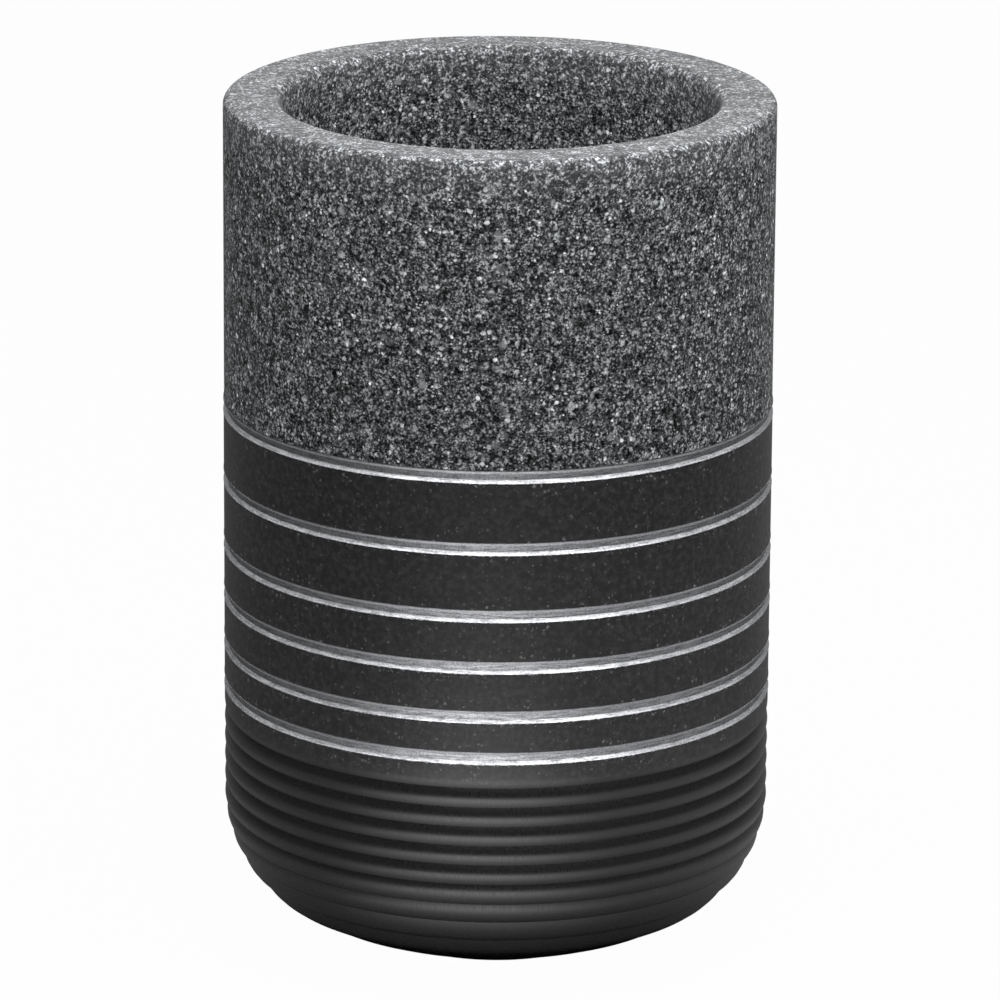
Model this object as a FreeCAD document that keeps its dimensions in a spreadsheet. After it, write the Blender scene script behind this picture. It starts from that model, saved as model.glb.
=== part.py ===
import FreeCAD, Part
import os
import Sketcher

# Bathroom tumbler, cast in stone-effect resin, in millimetres.
# +Z is up, the origin is on the tumbler's axis at the underside of its pad.
# A straight round cup curves in to a small foot. Its lower half is lacquered black and carries
# six silver lines laid in shallow grooves, over a run of rounded ribs that goes round the foot.

# Driving sizes: name, value, what it is
SIZES = (
    ("cup_radius", "35.3", "outside of the bare resin wall"),
    ("cup_height", "109", "from the flat of the foot to the rim"),
    ("wall_thickness", "7.3", "resin wall at the rim"),
    ("floor_thickness", "7", "resin under the cavity"),
    ("floor_corner_radius", "11", "round between the inner wall and the floor"),
    ("rim_outer_round", "1", "round on the rim's outer edge"),
    ("rim_inner_round", "1.3", "round on the rim's inner edge"),
    ("foot_radius", "16.7", "quarter round from the wall down to the foot"),
    ("rib_start", "17.5", "height of the lowest valley on the straight wall"),
    ("rib_width", "2.56", "from valley to valley on the straight wall"),
    ("rib_depth", "0.4", "from a rib's crest to the valley beside it"),
    ("bottom_band", "4.05", "from the top valley up to the lowest silver line"),
    ("band_5_6", "5.45", "between silver lines 5 and 6"),
    ("band_4_5", "6.5", "between silver lines 4 and 5"),
    ("band_3_4", "6.75", "between silver lines 3 and 4"),
    ("band_2_3", "8.75", "between silver lines 2 and 3"),
    ("band_1_2", "9.35", "between silver lines 1 and 2"),
    ("groove_width", "1.64", "mouth of a silver line's groove"),
    ("groove_depth", "0.75", "depth of a silver line's groove"),
    ("coat_thickness", "0.06", "black lacquer"),
    ("silver_hollow", "0.45", "depth of the silver's own face, where the paint pools in a groove"),
    ("silver_thickness", "0.05", "silver paint at the groove's lips"),
    ("silver_overlap", "0.2", "how far it runs below the lower lip"),
    ("upper_overlap", "0.08", "how far it runs above the upper lip"),
    ("coat_margin", "0.12", "how far the lacquer goes on above the top groove"),
    ("pad_inset", "2.6", "from the edge of the foot's flat to the anti-slip pad's edge"),
    ("pad_thickness", "2", "anti-slip pad"),
    ("pad_edge", "0.2", "bevel round the pad's lower edge"),
    ("film_margin", "0.5", "how far the adhesive stays inside the pad's edge"),
    ("film_thickness", "0.1", "adhesive that holds the pad"),
)

WALL_RIBS = 4
LINES = 6

# Valleys between the ribs round the foot, as shares of the quarter round, from the wall down.
# The first lies a little above the round, where the lowest rib of the straight wall ends.
FOOT_VALLEY_SHARES = (-0.031, 0.072, 0.185, 0.302, 0.453, 0.664)

# The lowest rib is the foot's own edge: it is as wide again past the foot's flat
FOOT_SHARES = FOOT_VALLEY_SHARES + (2 - FOOT_VALLEY_SHARES[-1],)
FOOT_RIBS = len(FOOT_SHARES) - 1

# Points of a sketch element, and the sketch's own origin, base line and upright axis
START, END, CENTRE = range(1, 4)
ORIGIN = BASE_LINE = -1
AXIS = BASE_LINE - 1

doc = FreeCAD.newDocument("tumbler")
sheet = doc.addObject("Spreadsheet::Sheet", "Size")
aliases = []


def add_row(name, content, note):
    """Write one size or one worked-out value to the sheet, under its alias."""
    aliases.append(name)
    row = len(aliases)
    sheet.set("A%d" % row, note)
    sheet.set("B%d" % row, content)
    sheet.setAlias("B%d" % row, name)


def value(text):
    """The number that an expression on the sheet's names gives now."""
    return float(sheet.evalExpression(text))


for name, number, note in SIZES:
    add_row(name, number, note)


# Worked-out values

def add_wall_ribs():
    """Radius and centres of the ribs on the straight wall; rib 0 is the round above the top valley."""
    add_row("wall_rib_radius", "=(rib_width * rib_width / 4 + rib_depth * rib_depth) / (2 * rib_depth)",
            "section radius of a rib on the wall")
    add_row("wall_rib_centre", "=cup_radius - wall_rib_radius", "distance of those ribs from the axis")
    for rib in range(WALL_RIBS + 1):
        add_row("wall_rib_%d" % rib, "=rib_start + rib_width * (%d - %d + 0.5)" % (WALL_RIBS, rib),
                "height of wall rib %d" % rib)


def add_foot_rib(rib, upper_share, lower_share):
    """A rib between two valleys of the quarter round. Its crest touches the round."""
    middle = "(45 * (%g + %g))" % (upper_share, lower_share)
    half = "(45 * (%g - %g))" % (lower_share, upper_share)
    name = "foot_rib_%d" % rib
    add_row(name + "_half", "=(foot_radius - rib_depth) * sin(%s)" % half, "half its width")
    add_row(name + "_rise", "=foot_radius - (foot_radius - rib_depth) * cos(%s)" % half, "its crest's rise")
    add_row(name + "_radius", "=(%s_half * %s_half + %s_rise * %s_rise) / (2 * %s_rise)"
            % (name, name, name, name, name), "its section radius")
    add_row(name + "_across", "=cup_radius - foot_radius + (foot_radius - %s_radius) * cos(%s)"
            % (name, middle), "its centre's distance from the axis")
    add_row(name + "_up", "=foot_radius - (foot_radius - %s_radius) * sin(%s)" % (name, middle),
            "its centre's height")


def add_lines():
    """Groove section and the six lines' heights, counted up from the top valley."""
    add_row("groove_radius", "=(groove_width * groove_width / 4 + groove_depth * groove_depth)"
            " / (2 * groove_depth)", "section radius of a groove")
    add_row("groove_centre", "=cup_radius + groove_radius - groove_depth", "its distance from the axis")
    add_row("line_%d" % LINES, "=rib_start + rib_width * %d + bottom_band" % WALL_RIBS,
            "height of silver line %d" % LINES)
    for line in range(LINES - 1, 0, -1):
        add_row("line_%d" % line, "=line_%d + band_%d_%d" % (line + 1, line, line + 1),
                "height of silver line %d" % line)


def add_seats():
    """Surfaces that the coats share, and the foot's flat with the pad on it."""
    add_row("coat_radius", "=cup_radius + coat_thickness", "outside of the lacquer on the wall")
    add_row("coat_groove", "=groove_radius - coat_thickness", "groove radius once it is lacquered")
    add_row("silver_radius", "=coat_radius + silver_thickness", "outside of the silver on the wall")
    add_row("lip", "=sqrt(coat_groove * coat_groove"
            " - (groove_centre - coat_radius) * (groove_centre - coat_radius))",
            "from a lacquered groove's middle to its lip")
    add_row("hollow_radius", "=(lip * lip + silver_hollow * silver_hollow) / (2 * silver_hollow)",
            "section radius of the silver's face")
    add_row("hollow_centre", "=silver_radius + hollow_radius - silver_hollow", "its distance from the axis")
    add_row("flat_radius", "=cup_radius - foot_radius", "flat of the foot")
    add_row("pad_radius", "=flat_radius - pad_inset", "anti-slip pad under the foot")
    add_row("cup_lift", "=pad_thickness + film_thickness", "height of the foot's flat")


add_wall_ribs()
for rib in range(FOOT_RIBS):
    add_foot_rib(rib + 1, FOOT_SHARES[rib], FOOT_SHARES[rib + 1])
add_lines()
add_seats()
doc.recompute()


class Section:
    """A closed half section of a turned piece: x is the distance from the axis, y the height."""

    def __init__(self, body, name):
        self.sketch = body.newObject("Sketcher::SketchObject", name)
        plane = [part for part in body.Origin.OriginFeatures if part.Role == "XZ_Plane"][0]
        self.sketch.AttachmentSupport = [(plane, "")]
        self.sketch.MapMode = "FlatFace"

    def line(self, start, end):
        """A straight stretch from one pair of expressions to another; only a first guess of its place."""
        points = [FreeCAD.Vector(value(x), value(y), 0) for x, y in (start, end)]
        return self.sketch.addGeometry(Part.LineSegment(*points), False)

    def arc(self, centre, radius, start, end):
        """An arc about a bound centre, with a bound radius, from one angle to another, in degrees."""
        across, up = centre
        middle = FreeCAD.Vector(value(across), value(up), 0)
        circle = Part.Circle(middle, FreeCAD.Vector(0, 0, 1), value(radius))
        turns = [FreeCAD.Units.Quantity(angle, "deg").getValueAs("rad").Value for angle in (start, end)]
        element = self.sketch.addGeometry(Part.ArcOfCircle(circle, *turns), False)
        self.place(element, CENTRE, across, up)
        self.bind(Sketcher.Constraint("Radius", element, value(radius)), radius)
        return element

    def circle(self, across, up, radius):
        """A whole circle about a bound centre."""
        centre = FreeCAD.Vector(value(across), value(up), 0)
        element = self.sketch.addGeometry(Part.Circle(centre, FreeCAD.Vector(0, 0, 1), value(radius)), False)
        self.place(element, CENTRE, across, up)
        self.bind(Sketcher.Constraint("Radius", element, value(radius)), radius)

    def bind(self, constraint, text):
        """Add a constraint whose size follows an expression."""
        index = self.sketch.addConstraint(constraint)
        self.sketch.setExpression("Constraints[%d]" % index, text)

    def across(self, element, point, text):
        """Hold a point at a distance from the axis."""
        self.bind(Sketcher.Constraint("DistanceX", ORIGIN, START, element, point, value(text)), text)

    def up(self, element, point, text):
        """Hold a point at a height."""
        self.bind(Sketcher.Constraint("DistanceY", ORIGIN, START, element, point, value(text)), text)

    def place(self, element, point, across, up):
        """Hold a point at a distance from the axis and at a height."""
        self.across(element, point, across)
        self.up(element, point, up)

    def on_axis(self, element, point):
        """Hold a point on the axis."""
        self.sketch.addConstraint(Sketcher.Constraint("PointOnObject", element, point, AXIS))

    def on_base(self, element, point):
        """Hold a point on the base line."""
        self.sketch.addConstraint(Sketcher.Constraint("PointOnObject", element, point, BASE_LINE))

    def level(self, *points):
        """Keep a straight stretch, or two points, level."""
        self.sketch.addConstraint(Sketcher.Constraint("Horizontal", *points))

    def upright(self, *points):
        """Keep a straight stretch, or two points, upright."""
        self.sketch.addConstraint(Sketcher.Constraint("Vertical", *points))

    def join(self, first, first_point, second, second_point):
        """Let two stretches share a point."""
        joint = Sketcher.Constraint("Coincident", first, first_point, second, second_point)
        self.sketch.addConstraint(joint)


def rib_angles(half_width, radius, middle):
    """First guess of where a rib's arc starts and ends: below and above its crest's direction."""
    spread = value("asin(%s / %s)" % (half_width, radius))
    return middle - spread, middle + spread


def add_ribbed_wall(section, skin):
    """The outside from the foot's flat up to the straight wall, grown outwards by skin.

    Gives the arc that starts on the foot's flat and the arc that ends on the wall."""
    lower = None
    for rib in range(FOOT_RIBS, 0, -1):
        name = "Size.foot_rib_%d" % rib
        middle = -45 * (FOOT_SHARES[rib - 1] + FOOT_SHARES[rib])
        start, end = rib_angles(name + "_half", name + "_radius", middle)
        if lower is None:
            start = middle
        arc = section.arc((name + "_across", name + "_up"), name + "_radius + " + skin, start, end)
        if lower is None:
            foot = arc
            section.upright(arc, CENTRE, arc, START)
        else:
            section.join(lower, END, arc, START)
        lower = arc
    for rib in range(WALL_RIBS, -1, -1):
        start, end = rib_angles("(Size.rib_width / 2)", "Size.wall_rib_radius", 0)
        if rib == 0:
            end = 0
        centre = ("Size.wall_rib_centre", "Size.wall_rib_%d" % rib)
        arc = section.arc(centre, "Size.wall_rib_radius + " + skin, start, end)
        section.join(lower, END, arc, START)
        lower = arc
    section.level(lower, CENTRE, lower, END)
    return foot, lower


def revolve(body, feature, section, name):
    """Turn a section once round the axis."""
    turned = body.newObject(feature, name)
    turned.Profile = section.sketch
    turned.ReferenceAxis = (section.sketch, ["V_Axis"])
    turned.Angle = 360
    body.Tip = turned
    return turned


def cut_line_grooves(body, radius, name):
    """Turn the six grooves into a body and see that they take material off."""
    before = body.Shape.Volume
    section = Section(body, name + "_section")
    for line in range(1, LINES + 1):
        section.circle("Size.groove_centre", "Size.line_%d" % line, radius)
    revolve(body, "PartDesign::Groove", section, name)
    doc.recompute()
    if not body.Shape.Volume < before:
        raise RuntimeError(name + " cuts nothing")


def new_body(label):
    """An empty body that stands at the height of the foot's flat."""
    body = doc.addObject("PartDesign::Body", label)
    body.Label = label
    body.setExpression("Placement.Base.z", "Size.cup_lift")
    return body


# Cup body

def make_cup_body():
    """The cast cup: ribbed outside, rounded rim, round-bottomed cavity and six grooves."""
    body = new_body("cup_body")
    section = Section(body, "cup_section")
    foot, crest = add_ribbed_wall(section, "0")
    inner = "Size.cup_radius - Size.wall_thickness"
    floor = "Size.floor_thickness"
    base = section.line(("0", "0"), ("Size.flat_radius", "0"))
    section.on_axis(base, START)
    section.on_base(base, START)
    section.join(base, END, foot, START)
    rim_height = "Size.cup_height - Size.rim_outer_round"
    wall = section.line(("Size.cup_radius", "Size.wall_rib_0"), ("Size.cup_radius", rim_height))
    section.join(crest, END, wall, START)
    outer_round = section.arc(("Size.cup_radius - Size.rim_outer_round", rim_height),
                              "Size.rim_outer_round", 0, 90)
    section.join(wall, END, outer_round, START)
    section.level(outer_round, CENTRE, outer_round, START)
    inner_round_across = inner + " + Size.rim_inner_round"
    rim = section.line(("Size.cup_radius - Size.rim_outer_round", "Size.cup_height"),
                       (inner_round_across, "Size.cup_height"))
    section.join(outer_round, END, rim, START)
    section.upright(outer_round, CENTRE, outer_round, END)
    inner_round = section.arc((inner_round_across, "Size.cup_height - Size.rim_inner_round"),
                              "Size.rim_inner_round", 90, 180)
    section.join(rim, END, inner_round, START)
    section.upright(inner_round, CENTRE, inner_round, START)
    floor_round_up = floor + " + Size.floor_corner_radius"
    inner_wall = section.line((inner, "Size.cup_height - Size.rim_inner_round"), (inner, floor_round_up))
    section.join(inner_round, END, inner_wall, START)
    section.level(inner_round, CENTRE, inner_round, END)
    floor_round = section.arc((inner + " - Size.floor_corner_radius", floor_round_up),
                              "Size.floor_corner_radius", -90, 0)
    section.join(inner_wall, END, floor_round, END)
    section.level(floor_round, CENTRE, floor_round, END)
    section.upright(floor_round, CENTRE, floor_round, START)
    cavity_floor = section.line((inner + " - Size.floor_corner_radius", floor), ("0", floor))
    section.join(floor_round, START, cavity_floor, START)
    section.on_axis(cavity_floor, END)
    section.level(cavity_floor)
    axis = section.line(("0", floor), ("0", "0"))
    section.join(cavity_floor, END, axis, START)
    section.join(axis, END, base, START)
    revolve(body, "PartDesign::Revolution", section, "cup_turned")
    doc.recompute()
    cut_line_grooves(body, "Size.groove_radius", "cup_grooves")
    return body


# Black coat

def make_coat_blank():
    """The lacquered outside as a blank that reaches half way into the wall, for the skins to be cut by."""
    blank = new_body("coat_blank")
    section = Section(blank, "coat_section")
    foot, crest = add_ribbed_wall(section, "Size.coat_thickness")
    top = "Size.line_1 + Size.lip + Size.coat_margin"
    inside = "Size.cup_radius - Size.wall_thickness / 2"
    wall = section.line(("Size.coat_radius", "Size.wall_rib_0"), ("Size.coat_radius", top))
    section.join(crest, END, wall, START)
    cap = section.line(("Size.coat_radius", top), (inside, top))
    section.join(wall, END, cap, START)
    section.upright(wall)
    section.level(cap)
    core = section.line((inside, top), (inside, "Size.foot_radius"))
    section.join(cap, END, core, START)
    section.place(core, START, inside, top)
    turn = section.arc(("Size.flat_radius", "Size.foot_radius"),
                       "Size.foot_radius - Size.wall_thickness / 2", -90, 0)
    section.join(core, END, turn, END)
    section.level(turn, CENTRE, turn, END)
    section.upright(turn, CENTRE, turn, START)
    end = section.line(("Size.flat_radius", "Size.wall_thickness / 2"),
                       ("Size.flat_radius", "-Size.coat_thickness"))
    section.join(turn, START, end, START)
    section.join(end, END, foot, START)
    revolve(blank, "PartDesign::Revolution", section, "coat_turned")
    doc.recompute()
    cut_line_grooves(blank, "Size.coat_groove", "coat_grooves")
    return blank


def cut(label, base, tool):
    """One solid less another, as a piece of its own."""
    piece = doc.addObject("Part::Cut", label)
    piece.Label = label
    piece.Base = base
    piece.Tool = tool
    return piece


# Silver lines

def make_silver_blank(line):
    """The silver in one groove, hollow in front and over both lips, running back into the wall."""
    body = new_body("silver_blank_%d" % line)
    section = Section(body, "silver_section_%d" % line)
    height = "Size.line_%d" % line
    inside = "Size.cup_radius - Size.wall_thickness / 2"
    face = "Size.silver_radius"
    top = height + " + Size.lip + Size.upper_overlap"
    edge = height + " - Size.lip - Size.silver_overlap"
    lip = value("asin(Size.lip / Size.hollow_radius)")
    front = section.arc(("Size.hollow_centre", height), "Size.hollow_radius", 180 - lip, 180 + lip)
    section.across(front, START, face)
    section.across(front, END, face)
    upper_tab = section.line((face, height + " + Size.lip"), (face, top))
    section.join(front, START, upper_tab, START)
    section.upright(upper_tab)
    upper = section.line((face, top), (inside, top))
    section.join(upper_tab, END, upper, START)
    section.up(upper_tab, END, top)
    section.level(upper)
    back = section.line((inside, top), (inside, edge))
    section.join(upper, END, back, START)
    section.upright(back)
    lower = section.line((inside, edge), (face, edge))
    section.join(back, END, lower, START)
    section.place(lower, START, inside, edge)
    section.level(lower)
    lower_tab = section.line((face, edge), (face, height + " - Size.lip"))
    section.join(lower, END, lower_tab, START)
    section.join(lower_tab, END, front, END)
    section.upright(lower_tab)
    revolve(body, "PartDesign::Revolution", section, "silver_turned_%d" % line)
    return body


# Pad and adhesive film

def make_base_pad():
    """The anti-slip pad: a disc with a small bevel round its lower edge."""
    body = doc.addObject("PartDesign::Body", "base_pad")
    body.Label = "base_pad"
    sketch = body.newObject("Sketcher::SketchObject", "pad_outline")
    plane = [part for part in body.Origin.OriginFeatures if part.Role == "XY_Plane"][0]
    sketch.AttachmentSupport = [(plane, "")]
    sketch.MapMode = "FlatFace"
    round_edge = Part.Circle(FreeCAD.Vector(0, 0, 0), FreeCAD.Vector(0, 0, 1), value("Size.pad_radius"))
    outline = sketch.addGeometry(round_edge, False)
    sketch.addConstraint(Sketcher.Constraint("Coincident", outline, CENTRE, ORIGIN, START))
    radius = sketch.addConstraint(Sketcher.Constraint("Radius", outline, value("Size.pad_radius")))
    sketch.setExpression("Constraints[%d]" % radius, "Size.pad_radius")
    disc = body.newObject("PartDesign::Pad", "pad_disc")
    disc.Profile = sketch
    disc.setExpression("Length", "Size.pad_thickness")
    body.Tip = disc
    doc.recompute()
    edges = disc.Shape.Edges
    lowest = [number for number, edge in enumerate(edges, 1) if edge.BoundBox.ZMax < value("Size.pad_edge")]
    bevel = body.newObject("PartDesign::Chamfer", "pad_bevel")
    bevel.Base = (disc, ["Edge%d" % number for number in lowest])
    bevel.setExpression("Size", "Size.pad_edge")
    body.Tip = bevel
    return body


def make_pad_film():
    """The thin adhesive disc between the pad and the foot."""
    film = doc.addObject("Part::Cylinder", "pad_film")
    film.Label = "pad_film"
    film.setExpression("Radius", "Size.pad_radius - Size.film_margin")
    film.setExpression("Height", "Size.film_thickness")
    film.setExpression("Placement.Base.z", "Size.pad_thickness")
    return film


cup = make_cup_body()
coat_blank = make_coat_blank()
pieces = [cup, cut("black_coat", coat_blank, cup)]
pieces += [cut("silver_line_%d" % line, make_silver_blank(line), coat_blank) for line in range(1, LINES + 1)]
pieces += [make_base_pad(), make_pad_film()]
doc.recompute()

for part in doc.Objects:
    if "Invalid" in part.State or "Error" in part.State:
        raise RuntimeError("%s failed: %s" % (part.Name, part.State))
for piece in pieces:
    shape = piece.Shape
    if shape.isNull() or not shape.isValid():
        raise RuntimeError(piece.Label + " has no valid shape")

os.makedirs("parts", exist_ok=True)
for piece in pieces:
    piece.Shape.exportStep("parts/%s.step" % piece.Label)
    box = piece.Shape.BoundBox
    print("%-14s solids %d volume %10.3f  z %.3f to %.3f  across %.3f"
          % (piece.Label, len(piece.Shape.Solids), piece.Shape.Volume, box.ZMin, box.ZMax, box.XLength))
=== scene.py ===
import math

import bpy
from mathutils import Matrix, Vector


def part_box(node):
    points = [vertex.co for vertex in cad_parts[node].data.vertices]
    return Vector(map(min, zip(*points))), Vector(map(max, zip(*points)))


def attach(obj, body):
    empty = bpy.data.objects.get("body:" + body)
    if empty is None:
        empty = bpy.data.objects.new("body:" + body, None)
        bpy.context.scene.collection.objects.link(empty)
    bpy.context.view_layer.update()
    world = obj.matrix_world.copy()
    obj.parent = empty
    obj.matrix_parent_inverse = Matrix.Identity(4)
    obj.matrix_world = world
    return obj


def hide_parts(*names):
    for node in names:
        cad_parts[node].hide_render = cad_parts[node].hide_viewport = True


bl_info = {
    "name": "Stone-effect bathroom tumbler",
    "version": (1, 0, 0),
    "blender": (4, 5, 0),
    "location": "3D View > Sidebar > Tumbler",
    "description": "Cast stone cup, black coat, silver lines and foam pad, with a plain stage",
    "category": "Object",
}

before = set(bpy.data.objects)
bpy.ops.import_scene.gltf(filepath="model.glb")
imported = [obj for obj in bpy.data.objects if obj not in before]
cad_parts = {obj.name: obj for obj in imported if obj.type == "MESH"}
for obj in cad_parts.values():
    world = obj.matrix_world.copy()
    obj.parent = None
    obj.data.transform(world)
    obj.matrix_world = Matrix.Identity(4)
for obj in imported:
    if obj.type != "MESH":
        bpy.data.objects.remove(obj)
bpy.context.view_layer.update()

MM = 0.001
LINES = 6
WALL_RIBS = 4

# Valleys between the ribs round the foot, as shares of the quarter round, from the wall down. The
# first lies a little above the round. Below the last is half a rib, which ends at the foot's flat.
FOOT_VALLEYS = (-0.031, 0.072, 0.185, 0.302, 0.453, 0.664)

# Straight steps from a rib's crest to the valley beside it: on every rib, and on the lowest one
RIB_STEPS = 3
LOWEST_RIB_STEPS = 4

# Straight steps along the other rounds
GROOVE_STEPS = 10
RIM_OUTER_STEPS = 10
RIM_INNER_STEPS = 14
FLOOR_STEPS = 24
PAINT_EDGE_STEPS = 4

# What the frame gives
CUP_LOW, CUP_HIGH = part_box("cup_body")
COAT_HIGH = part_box("black_coat")[1]
SILVER_BOXES = [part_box("silver_line_%d" % (line + 1)) for line in range(LINES)]
PAD_LOW, PAD_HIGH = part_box("base_pad")
FILM_LOW, FILM_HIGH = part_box("pad_film")
CUP_RADIUS = CUP_HIGH.x
COAT_RADIUS = COAT_HIGH.x
SILVER_RADIUS = SILVER_BOXES[0][1].x
SKIN = COAT_RADIUS - CUP_RADIUS


def linear(code):
    """An sRGB hex colour as linear red, green and blue."""
    shares = [int(code[i:i + 2], 16) / 255 for i in (1, 3, 5)]
    return tuple(c / 12.92 if c <= 0.04045 else ((c + 0.055) / 1.055) ** 2.4 for c in shares)


# Sizes and colours that a user would change

def length(name, description, millimetres):
    """A length property, given in millimetres and kept in metres."""
    return bpy.props.FloatProperty(name=name, description=description, default=millimetres * MM,
                                   min=0.0, unit="LENGTH", precision=5)


def colour(name, description, code):
    """A colour property, given as sRGB hex and kept linear."""
    return bpy.props.FloatVectorProperty(name=name, description=description,
                                         default=linear(code), subtype="COLOR", size=3,
                                         min=0.0, max=1.0)


class TumblerSizes(bpy.types.PropertyGroup):
    """Sizes that the frame's boxes don't give."""

    wall: length("Wall", "Resin wall at the rim", 7.3)
    floor: length("Floor", "Resin under the cavity", 7.0)
    floor_round: length("Floor round", "Round between the inner wall and the floor", 11.0)
    rim_outer_round: length("Rim outer round", "Round on the rim's outer edge", 1.0)
    rim_inner_round: length("Rim inner round", "Round on the rim's inner edge", 1.3)
    foot_round: length("Foot round", "Quarter round from the wall down to the foot", 16.7)
    rib_start: length("Rib start", "Height of the lowest valley on the straight wall", 17.5)
    rib_width: length("Rib width", "From valley to valley on the straight wall", 2.56)
    rib_depth: length("Rib depth", "From a rib's crest to the valley beside it", 0.4)
    groove_width: length("Groove width", "Mouth of a silver line's groove in the resin", 1.64)
    groove_depth: length("Groove depth", "Depth of a silver line's groove in the resin", 0.75)
    silver_hollow: length("Silver hollow", "Depth of the silver's own face", 0.43)
    silver_fold: length("Silver fold",
                        "Deepest line of the silver's face, below the groove's middle", 0.34)
    upper_overlap: length("Upper overlap", "Silver that runs above the groove's upper lip", 0.08)
    lower_overlap: length("Lower overlap", "Silver that runs below the groove's lower lip", 0.2)
    rag: length("Ragged edge", "How far the silver's lower edge wanders", 0.19)
    rag_step: length("Ragged step", "Length of one wander of that edge", 0.4)
    pad_edge: length("Pad edge", "Bevel round the pad's lower edge", 0.2)
    grit: length("Grit", "Width of a grain of stone in the resin", 0.28)


class TumblerColours(bpy.types.PropertyGroup):
    """Colours of the finishes, and how far the stone's grains differ."""

    stone: colour("Stone", "Middle grey of the resin between the grains", "#3A3B3C")
    grain: colour("Grain", "Pale grains of stone", "#E0E2E4")
    # Painted light: a paler colour mixed into the stone near the rim, for light getting in from the
    # top
    rim: colour("Rim", "Stone near the rim, where light gets in", "#8C8D90")
    grain_spread: bpy.props.FloatProperty(
        name="Grain spread", default=2.4, min=1.0,
        description="How many times lighter or darker the resin usually gets")
    lacquer: colour("Lacquer", "Black coat", "#151516")
    fleck: colour("Fleck", "Pale specks in the black coat", "#706E6E")
    silver: colour("Silver", "Silver paint", "#A9AAAD")
    foam: colour("Foam", "Anti-slip pad", "#2B2B2C")
    adhesive: colour("Adhesive", "Film between pad and foot", "#C9C4B4")


class TumblerCounts(bpy.types.PropertyGroup):
    """Counts that set how finely the pieces are made."""

    turns: bpy.props.IntProperty(
        name="Turns", description="Steps round a turned piece", default=288, min=3)
    silver_turns: bpy.props.IntProperty(
        name="Silver turns", description="Steps round a silver line", default=1536, min=3)
    flecks: bpy.props.IntProperty(
        name="Flecks", description="Stray flecks of silver under each line", default=110, min=0)


# Sections: lists of (distance from the axis, height)

def arc(centre, radius, start, end, steps):
    """Points on an arc from one angle to another, in degrees."""
    turns = [math.radians(start + (end - start) * step / steps) for step in range(steps + 1)]
    return [(centre[0] + radius * math.cos(turn), centre[1] + radius * math.sin(turn))
            for turn in turns]


def grow(points, skin):
    """Move an open section outwards, to the right of its run, by a skin's thickness."""
    moved = []
    for i, (x, z) in enumerate(points):
        runs = []
        beside = points[max(i - 1, 0):i + 2]
        for (x0, z0), (x1, z1) in zip(beside, beside[1:]):
            reach = math.hypot(x1 - x0, z1 - z0)
            runs.append(((z1 - z0) / reach, (x0 - x1) / reach))
        across, up = sum(run[0] for run in runs), sum(run[1] for run in runs)
        share = len(runs) * skin / (across * across + up * up)
        moved.append((x + across * share, z + up * share))
    return moved


def line_height(sizes, box):
    """Height of a silver line's groove, from its node's box."""
    low, high = box
    return (low.z + sizes.lower_overlap + high.z - sizes.upper_overlap) / 2


def groove(sizes, skin):
    """Distance of a groove's section from the axis, its radius once it carries a skin, and half
    its mouth."""
    width, depth = sizes.groove_width, sizes.groove_depth
    radius = (width ** 2 / 4 + depth ** 2) / (2 * depth)
    centre = CUP_RADIUS + radius - depth
    mouth = math.sqrt((radius - skin) ** 2 - (centre - CUP_RADIUS - skin) ** 2)
    return centre, radius - skin, mouth


def groove_arc(height, centre, radius, mouth):
    """Points round the inside of a groove, from its lower lip to its upper one."""
    spread = math.degrees(math.asin(mouth / radius))
    return arc((centre, height), radius, 180 + spread, 180 - spread, GROOVE_STEPS)


def ribbed_wall(sizes):
    """The outside from the foot's flat over the ribs and up past the top groove. Ribs are rounds
    that meet in sharp valleys."""
    quarter, width = sizes.foot_round, sizes.rib_width
    across, up, start = CUP_RADIUS - quarter, CUP_LOW.z + quarter, CUP_LOW.z + sizes.rib_start

    def dip(step, steps=RIB_STEPS):
        """How far a rib lies below its crest, so many steps away from it."""
        return sizes.rib_depth * (step / steps) ** 2

    def round_foot(share, depth):
        """A point on the foot's quarter round, or in from it by a depth."""
        turn = math.radians(90 * share)
        reach = quarter - depth
        return across + reach * math.cos(turn), up - reach * math.sin(turn)

    points = [round_foot(1, 0)]
    points += [round_foot(1 - (1 - FOOT_VALLEYS[-1]) * step / LOWEST_RIB_STEPS,
                          dip(step, LOWEST_RIB_STEPS)) for step in range(1, LOWEST_RIB_STEPS)]
    for upper, lower in reversed(list(zip(FOOT_VALLEYS, FOOT_VALLEYS[1:]))):
        middle = (upper + lower) / 2
        points += [round_foot(middle + (lower - middle) * step / RIB_STEPS, dip(step))
                   for step in range(RIB_STEPS, -RIB_STEPS, -1)]
    points.append((CUP_RADIUS - sizes.rib_depth, start))
    for rib in range(WALL_RIBS + 1):
        middle = start + width * (rib + 0.5)
        last = RIB_STEPS if rib < WALL_RIBS else 0
        points += [(CUP_RADIUS - dip(step), middle + width / 2 * step / RIB_STEPS)
                   for step in range(1 - RIB_STEPS, last + 1)]
    for box in reversed(SILVER_BOXES):
        points += groove_arc(line_height(sizes, box), *groove(sizes, 0))
    return points


def cup_section(sizes):
    """Half section of the cup, from the middle of its underside to the middle of its cavity's
    floor."""
    rim, inner, floor = CUP_HIGH.z, CUP_RADIUS - sizes.wall, CUP_LOW.z + sizes.floor
    outer_round, inner_round = sizes.rim_outer_round, sizes.rim_inner_round
    bowl = sizes.floor_round
    return ([(0.0, CUP_LOW.z)] + ribbed_wall(sizes)
            + arc((CUP_RADIUS - outer_round, rim - outer_round), outer_round, 0, 90,
                  RIM_OUTER_STEPS)
            + arc((inner + inner_round, rim - inner_round), inner_round, 90, 180, RIM_INNER_STEPS)
            + arc((inner - bowl, floor + bowl), bowl, 0, -90, FLOOR_STEPS)
            + [(0.0, floor)])


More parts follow.
